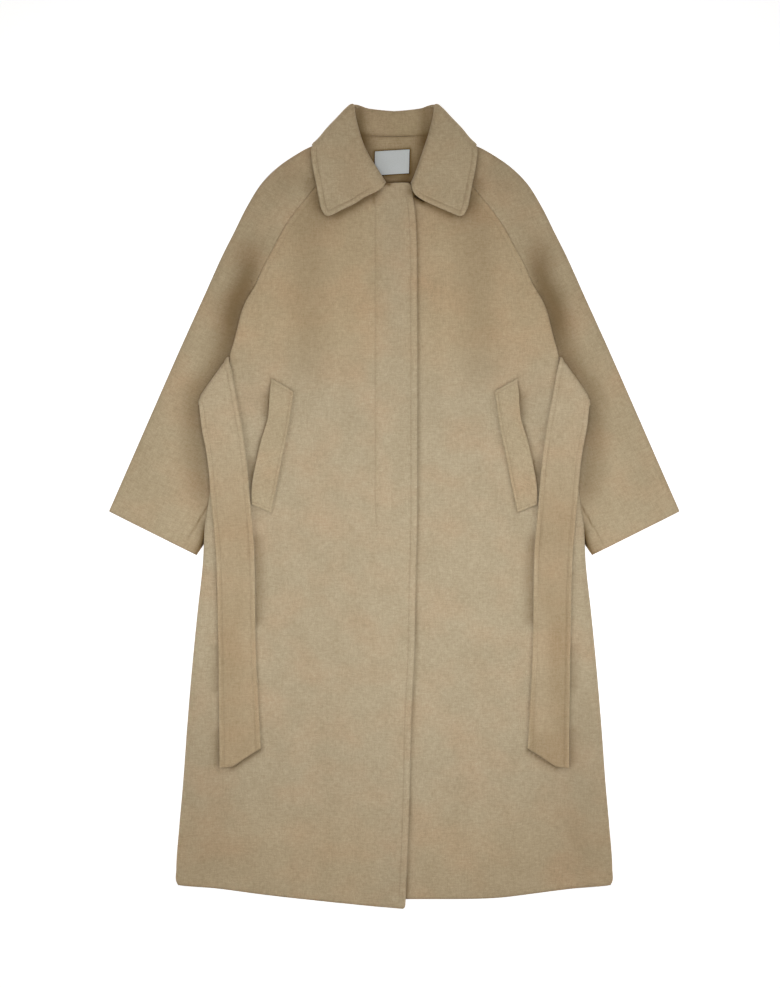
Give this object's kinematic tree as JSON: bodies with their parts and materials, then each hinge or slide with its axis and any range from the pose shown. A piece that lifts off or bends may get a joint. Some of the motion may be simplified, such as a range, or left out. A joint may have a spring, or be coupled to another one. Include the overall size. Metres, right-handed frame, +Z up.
{
  "type": "long coat",
  "caption": "Long raglan coat in thick wool cloth, fastened and laid flat on its back, with a turned-down collar, slanted pocket welts and a sash folded down at the sides.",
  "frame": {"origin": "on the surface that the coat lies on, at the middle of its box", "axes": "+Y along the coat from the hem to the collar, +Z up out of its front, +X towards the wearer's left"},
  "size_m": [0.8544, 1.2072, 0.0178],
  "materials": {
    "wool": "matt napped wool, golden sand",
    "wool_inside": "matt wool, the cloth's inner side",
    "wool_belt": "matt napped wool, pressed flat",
    "satin": "smooth woven satin, blank"
  },
  "bodies": {
    "root": {"back": "wool_inside", "front_left": "wool", "front_right": "wool", "sleeve_left_back": "wool_inside", "sleeve_left_front": "wool", "sleeve_right_back": "wool_inside", "sleeve_right_front": "wool", "collar_fall": "wool", "collar_stand": "wool_inside", "pocket_welt_left": "wool", "pocket_welt_right": "wool", "belt": "wool_belt", "neck_label": "satin"}
  },
  "joints": []
}
